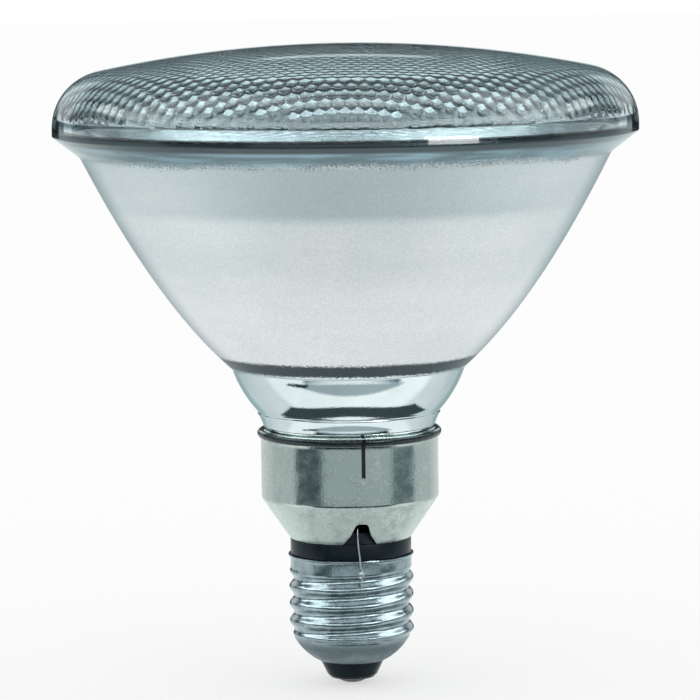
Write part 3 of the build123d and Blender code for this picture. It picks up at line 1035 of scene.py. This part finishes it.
class BULB_OT_skirt(bpy.types.Operator):
    """Plated sheet skirt with a rolled lip, a slit at the front and the back, and a notch for the lead"""

    bl_idname = "bulb.skirt"
    bl_label = "Skirt"

    def execute(self, context):
        cap = context.scene.bulb_cap
        colours = context.scene.bulb_colours
        low, high = foot("skirt"), top("skirt")
        wall = low + cap.skirt_cone
        lip = high - cap.skirt_lip
        roll = cap.skirt_lip / 2
        heart = radius_of("skirt") - SEAM_GAP - roll
        slit_low = high - cap.slit_length
        corners = [(cap.skirt_foot, low), (cap.skirt, wall), (cap.skirt, lip)]
        path = round_path(corners, [cap.skirt_bend], steps=8)
        lip_start = -math.acos((cap.skirt - heart) / roll)
        path += arc_points((heart, lip + roll), roll, lip_start, LIP_END, steps=12)[1:]
        bend = [point for point in path if point[1] <= slit_low][1:]
        upper = [point for point in path if point[1] > slit_low]
        slit_foot = (cap.skirt, slit_low)
        rise = bend + stepped((cap.skirt, bend[-1][1]), slit_foot, WALL_ROWS)[1:]
        rise += stepped(slit_foot, (cap.skirt, upper[0][1]), SLIT_ROWS) + upper
        half_slit = cap.slit_width / 2 / cap.skirt
        notch_step = NOTCH_MARGIN * cap.notch_width / 2 / cap.skirt_foot / NOTCH_STEPS
        angles = around(context.scene.bulb_studio.steps)
        angles += [notch_step * step for step in range(-NOTCH_STEPS, NOTCH_STEPS + 1)]
        angles += [half_slit, -half_slit, math.pi - half_slit, math.pi + half_slit]
        angles = sorted({round(angle % FULL_TURN, ANGLE_DIGITS) for angle in angles})
        angles = [a for i, a in enumerate(angles) if i == 0 or a - angles[i - 1] > LEAST_STEP]
        notch = [
            (-cap.notch_width / 2, 0),
            (-cap.notch_waist / 2, cap.notch_waist_rise),
            (-cap.notch_tip / 2, cap.notch_height),
            (0, cap.notch_height),
        ]
        spread = (cap.skirt - cap.skirt_foot) / cap.skirt_cone
        bell = round_path(notch, NOTCH_BENDS, steps=12)
        bell = [(math.asin(x / (cap.skirt_foot + spread * z)), z) for x, z in bell]
        bm = bmesh.new()
        columns = []
        for angle in angles:
            cut = height_on(bell, -min(angle, FULL_TURN - angle))
            share = cut / (bend[0][1] - low)
            start = (cap.skirt_foot + (bend[0][0] - cap.skirt_foot) * share, low + cut)
            column = stepped(start, bend[0], CONE_ROWS) + rise
            columns.append([bm.verts.new((r * math.sin(angle), -r * math.cos(angle), z)) for r, z in column])
        slit_row = CONE_ROWS + len(bend) + WALL_ROWS - 1
        ends = angles[1:] + [FULL_TURN]
        for column, after, here, ahead in zip(columns, columns[1:] + columns[:1], angles, ends):
            middle = (here + ahead) / 2
            in_slit = min(middle, FULL_TURN - middle, abs(middle - math.pi)) < half_slit
            for row in range(slit_row if in_slit else len(column) - 1):
                bm.faces.new((column[row], after[row], after[row + 1], column[row + 1]))
        bmesh.ops.delete(bm, geom=[v for v in bm.verts if not v.link_faces], context="VERTS")
        sheet = put_in_scene("skirt sheet", plain_mesh(bm, "skirt sheet"))
        thick = sheet.modifiers.new("Sheet", "SOLIDIFY")
        thick.thickness = cap.skirt_sheet
        thick.offset = -1.0
        thick.use_even_offset = True
        edge = sheet.modifiers.new("Edge", "BEVEL")
        edge.width = SHEET_EDGE
        edge.segments = 2
        edge.limit_method = "ANGLE"
        edge.angle_limit = EDGE_ANGLE
        mesh = baked(sheet)
        dark_low, dark_high = (lip + share * roll for share in DARK_LIP)
        order = [int(dark_low < face.center.z < dark_high) for face in mesh.polygons]
        finishes = [plated_sheet(colours, wall), dull_metal("darkened lip", colours.lip, roughness=0.22)]
        finish_piece("skirt", mesh, finishes, sharp=40, order=order)
        return {"FINISHED"}


RING_BENDS = mm(0.2, 0.2, 0.05, 0.25, 0.2, 0.05, 0.4, 0.2)
SPIGOT_STEP = 0.55 * MM
PLUG_GAP = 0.1 * MM
BORE_GAP = 0.01 * MM


class BULB_OT_insulator(bpy.types.Operator):
    """Black insulating ring between the skirt and the screw shell"""

    bl_idname = "bulb.insulator"
    bl_label = "Insulating ring"

    def execute(self, context):
        cap = context.scene.bulb_cap
        low, high = foot("insulator_ring"), top("insulator_ring")
        seat, crest = top("screw_shell"), foot("skirt")
        spigot = cap.skirt_foot - SPIGOT_STEP
        plug = cap.root - cap.shell_sheet - PLUG_GAP
        bore, middle = cap.ring_bore, (low + high) / 2
        under = [(bore, middle), (bore, low), (plug, low), (plug, seat), (cap.ring, seat)]
        over = [(cap.ring, crest), (spigot, crest), (spigot, high), (bore, high), (bore, middle + BORE_GAP)]
        black = context.scene.bulb_colours.black
        finish = black_finish("black moulded plastic", black, roughness=0.28, grit=0.12, gloss=0.24)
        path = round_path(under + over, RING_BENDS, steps=4)
        turned_piece("insulator_ring", path, finish, loop=True)
        return {"FINISHED"}


# Rows of the thread, and its run-outs as levels from its start and its end
THREAD_ROWS = 112
FADE_IN = mm(0.0, 1.7)
FADE_OUT = mm(-1.4, 0.2)

# Band and lip: start over the thread, steps down from the top, and the lip's step inwards
BAND_RISE = 0.3 * MM
BAND_DROP = 0.6 * MM
LIP_DROP = 0.25 * MM
LIP_STEP = 0.05 * MM
COLLAR_BENDS = mm(0.5, 0.15)


def eased(value, limit, border):
    """Share that rises smoothly from nought to one where a value passes a limit, within a border."""
    share = max(0.0, min(1.0, (value - limit - border[0]) / (border[1] - border[0])))
    return share * share * (3 - 2 * share)


class BULB_OT_screw_shell(bpy.types.Operator):
    """Thin rolled shell with a round screw thread, a plain band and a small lip"""

    bl_idname = "bulb.screw_shell"
    bl_label = "Screw shell"

    def execute(self, context):
        cap = context.scene.bulb_cap
        low, high, lip = extent("screw_shell")
        first, last = cap.screw_start, cap.screw_end

        def row(radius, height, inset):
            """Row of the shell, whose radius turns with the screw where none is given."""
            if radius is not None:
                return radius - inset, height
            plain = cap.root if height < (first + last) / 2 else cap.band
            depth = eased(height, first, FADE_IN) * (1 - eased(height, last, FADE_OUT))

            def thread(angle):
                """Radius of the row at an angle."""
                crest = cap.screw_crest + cap.screw_pitch * angle / FULL_TURN
                wave = 0.5 + 0.5 * math.cos(FULL_TURN * (height - crest) / cap.screw_pitch)
                return plain + (cap.root + (cap.crest - cap.root) * wave - plain) * depth - inset

            return thread, height

        nose = bulged((cap.mouth, low), (cap.root, first), cap.nose, steps=14)
        screw = [(None, first + (last - first) * step / THREAD_ROWS) for step in range(1, THREAD_ROWS + 1)]
        band = [(cap.band, last + BAND_RISE), (cap.band, high - BAND_DROP)]
        band += [(lip, high - LIP_DROP), (lip - LIP_STEP, high)]
        outside = nose + screw + round_path(band, COLLAR_BENDS, steps=5)
        path = [row(radius, height, 0.0) for radius, height in outside]
        path += [row(radius, height, cap.shell_sheet) for radius, height in reversed(outside[::2])]
        finish = nickel_plate(context.scene.bulb_colours, first)
        turned_piece("screw_shell", path, finish, loop=True, sharp=50)
        return {"FINISHED"}


THROAT_GAP = 0.05 * MM
BASE_BENDS = mm(0.5, 0.6)
PLATE_BENDS = mm(0.8, 0.3, 0.1)
TIP_BENDS = mm(0.9, 0.1)


class BULB_OT_base(bpy.types.Operator):
    """Black base glass, contact plate and solder tip"""

    bl_idname = "bulb.base"
    bl_label = "Base and contact"

    def execute(self, context):
        cap = context.scene.bulb_cap
        colours = context.scene.bulb_colours
        low, high, wide = extent("base_insulator")
        throat = cap.mouth - cap.shell_sheet - THROAT_GAP
        mouth = foot("screw_shell")
        sill = (throat, mouth + cap.shell_sheet)
        path = round_path([(0, low), (cap.base_face, low), (throat, mouth), sill], BASE_BENDS)
        path += bulged(sill, (wide, cap.screw_start + cap.shell_sheet), cap.nose, steps=10)[1:]
        path += [(wide, high), (0, high)]
        finish = black_finish("black base glass", colours.black, roughness=0.1, grit=0.04, gloss=0.1)
        turned_piece("base_insulator", path, finish)
        low, high, wide = extent("centre_contact")
        path = [(0, low), (cap.plate_face, low), (wide, (low + high) / 2), (wide, high), (0, high)]
        # The contact's dark colour is painted shade
        finish = dull_metal("contact plate", colours.contact, roughness=0.3)
        turned_piece("centre_contact", round_path(path, PLATE_BENDS, steps=5), finish)
        low, high, wide = extent("contact_solder")
        path = [(0, low), (cap.tip_face, low), (wide, high), (0, high)]
        finish = dull_metal("solder tip", colours.contact, roughness=0.26)
        turned_piece("contact_solder", round_path(path, TIP_BENDS), finish)
        return {"FINISHED"}


# Route of the side lead in millimetres, from its ferrule through the notch to its loop on the shell
LEAD_ROUTE = (
    (8.0, 0.0, 48.8),
    (8.0, 0.0, 44.0),
    (7.9, -0.3, 41.0),
    (6.0, -3.4, 39.3),
    (2.6, -8.6, 37.6),
    (-0.3, -12.2, 36.0),
    (-0.65, -13.25, 34.4),
    (-0.6, -13.42, 32.4),
    (-0.45, -13.45, 30.2),
    (-0.2, -13.47, 28.4),
    (-0.1, -13.5, 27.0),
    (-0.05, -13.46, 26.1),
    (0.45, -13.46, 25.4),
    (0.6, -13.5, 24.7),
    (0.25, -13.54, 24.05),
    (-0.4, -13.56, 24.15),
    (-0.6, -13.6, 24.8),
    (-0.2, -13.66, 25.35),
    (0.25, -13.62, 24.9),
    (0.2, -13.5, 24.0),
    (0.0, -13.42, 23.2),
    (0.15, -13.4, 22.2),
)

# Solder bead: half its width, depth and height, its place behind the solid's middle, and its lumps
BEAD_SIZE = Vector(mm(0.62, 0.45, 0.74))
BEAD_INSET = 0.25 * MM
LUMP_SCALE = 1.6
LUMP_HEIGHT = 0.14


def wire_mesh(name, route, radius):
    """Round wire along a smooth route given in millimetres."""
    curve = bpy.data.curves.new(name, "CURVE")
    curve.dimensions = "3D"
    curve.bevel_depth = radius
    curve.bevel_resolution = 3
    curve.use_fill_caps = True
    line = curve.splines.new("NURBS")
    line.points.add(len(route) - 1)
    for point, spot in zip(line.points, route):
        point.co = (*mm(*spot), 1.0)
    line.order_u = 4
    line.resolution_u = 6
    line.use_endpoint_u = True
    return baked(put_in_scene(name, curve))


class BULB_OT_leads(bpy.types.Operator):
    """Lead wires and the solder bead on the shell"""

    bl_idname = "bulb.leads"
    bl_label = "Leads"

    def execute(self, context):
        colours = context.scene.bulb_colours
        wire = dull_metal("lead wire", colours.wire, roughness=0.16)
        dress("centre_lead_wire", wire)
        mesh = wire_mesh("side lead", LEAD_ROUTE, context.scene.bulb_cap.wire)
        finish_piece("side_lead_wire", mesh, [wire], sharp=60)
        low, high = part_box("side_solder")
        middle = (low + high) / 2
        spot = Vector((0.0, middle.y + BEAD_INSET, middle.z))
        bm = bmesh.new()
        bmesh.ops.create_icosphere(bm, subdivisions=4, radius=1.0)
        for vert in bm.verts:
            lump = 1.0 + LUMP_HEIGHT * noise.noise(vert.co * LUMP_SCALE)
            vert.co = vert.co * BEAD_SIZE * lump + spot
        bead = dull_metal("solder bead", colours.solder, roughness=0.22)
        finish_piece("side_solder", closed_mesh(bm, "side_solder"), [bead], sharp=60)
        return {"FINISHED"}


FILAMENT_WIRE = 0.11 * MM
FILAMENT_INSET = 0.12 * MM
FILAMENT_TURNS = 20.0


def coil_tree():
    """Geometry nodes for the wound filament: a helix along X swept with a round wire."""
    sizes = {"Length": 0.013, "Radius": 0.0004, "Wire": 0.0001, "Height": 0.07}
    inputs = {**sizes, "Turns": FILAMENT_TURNS, "Material": None}
    tree, given, out = group_tree("Filament coil", "GeometryNodeTree", inputs, ["Geometry"])
    size = {"Start Radius": given["Radius"], "End Radius": given["Radius"], "Height": given["Length"]}
    helix = geometry("CurveSpiral", {"Resolution": 16, "Rotations": given["Turns"], **size})
    ring = geometry("CurvePrimitiveCircle", {"Resolution": 6, "Radius": given["Wire"]}, mode="RADIUS")
    wound = geometry("CurveToMesh", {"Curve": helix, "Profile Curve": ring, "Fill Caps": True})
    start = vector(X=times(given["Length"], -0.5), Z=given["Height"])
    laid = {"Geometry": wound, "Translation": start, "Rotation": (0, QUARTER_TURN, 0)}
    give(out, geometry("Transform", laid), given["Material"])
    return tree


class BULB_OT_mount(bpy.types.Operator):
    """Filament coil, posts, ferrules and exhaust tube behind the lens"""

    bl_idname = "bulb.mount"
    bl_label = "Filament mount"

    def execute(self, context):
        colours = context.scene.bulb_colours
        low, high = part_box("filament")
        tungsten = dull_metal("tungsten coil", colours.tungsten, roughness=0.4)
        values = {
            "Length": high.x - low.x,
            "Radius": (high.z - low.z) / 2 - FILAMENT_INSET,
            "Wire": FILAMENT_WIRE,
            "Turns": FILAMENT_TURNS,
            "Height": (high.z + low.z) / 2,
            "Material": tungsten,
        }
        mesh = grown("filament coil", coil_tree(), values)
        finish_piece("filament", mesh, [tungsten], sharp=60)
        posts = dull_metal("nickel posts", colours.posts, roughness=0.25)
        ferrules = dull_metal("ferrule metal", colours.ferrules, roughness=0.38)
        for side in ("left", "right"):
            dress(f"support_post_{side}", posts)
            dress(f"ferrule_{side}", ferrules)
        dress("exhaust_tube", clear_glass("exhaust tube glass", colours.glass, waviness=0.05))
        return {"FINISHED"}


# Panels and flags, once or on both sides: bearings from the camera's side, elevations, soft edge, brightness.
# All but the last are in degrees.
STUDIO_PANELS = (
    ("both", (100, 200, -60, -3), 6, 0.8),
    ("both", (143, 200, -34, -8), 5, 0.92),
    ("both", (150, 172, -6, 2.5), 1.5, 0.03),
    ("both", (173.5, 200, -6, 2.5), 1, 0.68),
    ("one", (-54, 62, -44, -12), 4, 0.03),
    ("one", (-120, 130, -14, 10), 3, 0.7),
    ("one", (-37, 57, -14, 10), 3, 0.6),
    ("one", (-74, -37, -14, 10), 3, 0.13),
    ("one", (57, 91, -14, 10), 3, 0.22),
    ("both", (138, 166, 3, 21), 3, 0.85),
    ("both", (177.6, 200, 3.5, 14), 0.7, 0.012),
    ("both", (177.6, 200, 14, 15.5), 0.5, 0.7),
    ("one", (-90, 62, 60, 80), 3, 1.7),
    ("one", (-22, 32, 36, 54), 4, 1.7),
    ("one", (-105, -66, 22, 70), 6, 2.0),
    ("one", (66, 110, 22, 66), 6, 2.5),
    ("one", (-60, -34, 31, 46), 3, 6.0),
    ("one", (15, 54, 20, 30), 2, 3.4),
    ("one", (-70, 70, 33, 59), 3, 0.18),
    ("one", (-125, 125, 21, 30), 2, 3.2),
)

# Curved shapes on the floor, in floor lengths for a lamp one length high.
# Each has a near and a far edge (start, bend), its two sides, a soft edge and a brightness.
FLOOR_SHAPES = (
    ((-0.9, 0.446), (-0.55, 0.15), (-1.4, 1.4), 0.03, 0.47),
    ((-0.88, 0.446), (-0.72, 0.40), (-1.12, -0.74), 0.02, 0.02),
    ((-0.29, 0.95), (-0.06, 1.6), (-0.72, 0.82), 0.015, 0.07),
)

# Elevations of the horizon, brightness under and over it, and the least slope of a ray to the floor
HORIZON = (-4.0, 3.0)
HORIZON_LIGHT = (1.02, 0.06)
LEAST_SLOPE = 0.02

# Shares of red and green at the ends of a range of brightness, so that dim parts are bluer
TONE_RANGE = (0.1, 0.9)
RED_SHARES = (0.62, 0.915)
GREEN_SHARES = (0.89, 0.99)


def studio_world(studio):
    """White surroundings: even light on plain surfaces, and soft panels and flags in gloss and glass."""
    world = bpy.data.worlds.new("Studio")
    bpy.context.scene.world = world
    world.use_nodes = True
    tree = world.node_tree
    tree.nodes.clear()
    way = put(tree, "ShaderNodeTexCoord").outputs["Generated"]
    spin = {"Vector": way, "Angle": -studio.azimuth}
    spun = join("ShaderNodeVectorRotate", spin, rotation_type="Z_AXIS").outputs[0]
    parts = join("ShaderNodeSeparateXYZ", {"Vector": spun}).outputs
    across = maths("DEGREES", maths("ARCTAN2", parts["X"], times(parts["Y"], -1.0)))
    bearings = {"one": across, "both": maths("ABSOLUTE", across)}
    rise = maths("DEGREES", maths("ARCSINE", parts["Z"]))

    def lit(light, mask, brightness):
        """Light that takes on a brightness under a mask."""
        return maths("MULTIPLY_ADD", mask, maths("SUBTRACT", brightness, light), light)

    light = ramp(rise, *HORIZON, *HORIZON_LIGHT)
    for sides, (left, right, low, high), soft, brightness in STUDIO_PANELS:
        mask = within(bearings[sides], left, right, soft)
        light = lit(light, times(mask, within(rise, low, high, soft)), brightness)
    depth = maths("MAXIMUM", times(parts["Z"], -1.0), LEAST_SLOPE)
    step = maths("DIVIDE", parts["X"], depth)
    ahead = maths("DIVIDE", parts["Y"], depth)
    square = times(step, step)
    for near, far, (left, right), soft, brightness in FLOOR_SHAPES:
        beyond = maths("SUBTRACT", ahead, maths("MULTIPLY_ADD", square, near[1], near[0]))
        short = maths("SUBTRACT", maths("MULTIPLY_ADD", square, far[1], far[0]), ahead)
        mask = times(ramp(beyond, -soft, soft), ramp(short, -soft, soft))
        light = lit(light, times(mask, within(step, left, right, soft)), brightness)
    red, green = (
        times(light, ramp(light, *TONE_RANGE, *shares)) for shares in (RED_SHARES, GREEN_SHARES)
    )
    mirrored = join("ShaderNodeCombineColor", {0: red, 1: green, 2: light}).outputs[0]
    path = put(tree, "ShaderNodeLightPath").outputs
    polished = maths("MAXIMUM", path["Is Glossy Ray"], path["Is Transmission Ray"])
    seen = blend(polished, rgba([studio.soft] * 3), mirrored)
    final = blend(path["Is Camera Ray"], seen, WHITE)
    glow = put(tree, "ShaderNodeBackground", {"Color": final, "Strength": 1.0})
    put(tree, "ShaderNodeOutputWorld", {"Surface": glow.outputs[0]})


# Floor: its gap under the lamp, and its colour for light and for the camera, to which it also glows
FLOOR_GAP = 0.2 * MM
FLOOR_COLOURS = ((0.96, 0.96, 0.96, 1.0), (0.4, 0.4, 0.4, 1.0))
FLOOR_GLOW = 0.58


def toward(bearing):
    """Level direction at a bearing from the slit's side."""
    return Vector((math.sin(bearing), -math.cos(bearing), 0))


class BULB_OT_stage(bpy.types.Operator):
    """White floor, soft light and the camera"""

    bl_idname = "bulb.stage"
    bl_label = "Stage"

    def execute(self, context):
        studio = context.scene.bulb_studio
        studio_world(studio)
        bm = bmesh.new()
        bmesh.ops.create_grid(bm, x_segments=8, y_segments=8, size=studio.floor)
        floor = put_in_scene("floor", plain_mesh(bm, "floor"))
        floor.location.z = -FLOOR_GAP
        floor.visible_glossy = False
        floor.visible_transmission = False
        made, tree, shader = material("white floor")
        camera_ray = put(tree, "ShaderNodeLightPath").outputs["Is Camera Ray"]
        tone = blend(camera_ray, *FLOOR_COLOURS)
        shade(shader, Base_Color=tone, Roughness=0.9, Specular_IOR_Level=0.0)
        shade(shader, Emission_Color=WHITE, Emission_Strength=times(camera_ray, FLOOR_GLOW))
        floor.data.materials.append(made)
        softbox = bpy.data.lights.new("rim softbox", "AREA")
        softbox.shape = "RECTANGLE"
        softbox.size = studio.box_width
        softbox.size_y = studio.box_height
        softbox.energy = studio.box_power
        lamp = put_in_scene("rim softbox", softbox)
        bearing = studio.azimuth + studio.box_bearing
        lamp.location = toward(bearing) * studio.box_distance
        lamp.location.z = studio.box_level
        lamp.rotation_euler = (QUARTER_TURN, 0, bearing)
        lamp.visible_camera = False
        lamp.visible_diffuse = False
        camera = put_in_scene("camera", bpy.data.cameras.new("camera"))
        camera.data.lens = studio.lens
        camera.data.sensor_width = 36.0
        camera.data.clip_start = 0.01
        camera.data.clip_end = 50.0
        right = toward(studio.azimuth + QUARTER_TURN)
        camera.location = toward(studio.azimuth) * studio.distance + right * studio.aside
        camera.location.z = studio.height
        aim = Euler((QUARTER_TURN - studio.pitch, 0, studio.azimuth)).to_matrix()
        camera.rotation_euler = (aim @ Matrix.Rotation(studio.roll, 3, "Z")).to_euler()
        context.scene.camera = camera
        context.scene.view_settings.view_transform = "Standard"
        return {"FINISHED"}


OPERATORS = (
    BULB_OT_lens,
    BULB_OT_reflector,
    BULB_OT_skirt,
    BULB_OT_insulator,
    BULB_OT_screw_shell,
    BULB_OT_base,
    BULB_OT_leads,
    BULB_OT_mount,
    BULB_OT_stage,
)
GROUPS = {
    "bulb_glass": BulbGlass,
    "bulb_cap": BulbCap,
    "bulb_colours": BulbColours,
    "bulb_studio": BulbStudio,
}


class BULB_PT_panel(bpy.types.Panel):
    """Sidebar with the bulb's sizes, colours and pieces"""

    bl_idname = "BULB_PT_panel"
    bl_label = "Par spotlight bulb"
    bl_space_type = "VIEW_3D"
    bl_region_type = "UI"
    bl_category = "Bulb"

    def draw(self, context):
        for name, group in GROUPS.items():
            box = self.layout.box()
            box.label(text=group.__doc__)
            for key in group.__annotations__:
                box.prop(getattr(context.scene, name), key)
        for operator in OPERATORS:
            self.layout.operator(operator.bl_idname)


def register():
    """Adds the classes and the scene's settings."""
    for item in (*GROUPS.values(), *OPERATORS, BULB_PT_panel):
        bpy.utils.register_class(item)
    for name, group in GROUPS.items():
        setattr(bpy.types.Scene, name, PointerProperty(type=group))


def unregister():
    """Removes them again."""
    for name in GROUPS:
        delattr(bpy.types.Scene, name)
    for item in reversed((*GROUPS.values(), *OPERATORS, BULB_PT_panel)):
        bpy.utils.unregister_class(item)


def main():
    """Builds every piece and the stage."""
    register()
    bpy.ops.bulb.lens()
    bpy.ops.bulb.reflector()
    bpy.ops.bulb.skirt()
    bpy.ops.bulb.insulator()
    bpy.ops.bulb.screw_shell()
    bpy.ops.bulb.base()
    bpy.ops.bulb.leads()
    bpy.ops.bulb.mount()
    bpy.ops.bulb.stage()


if __name__ == "__main__":
    main()
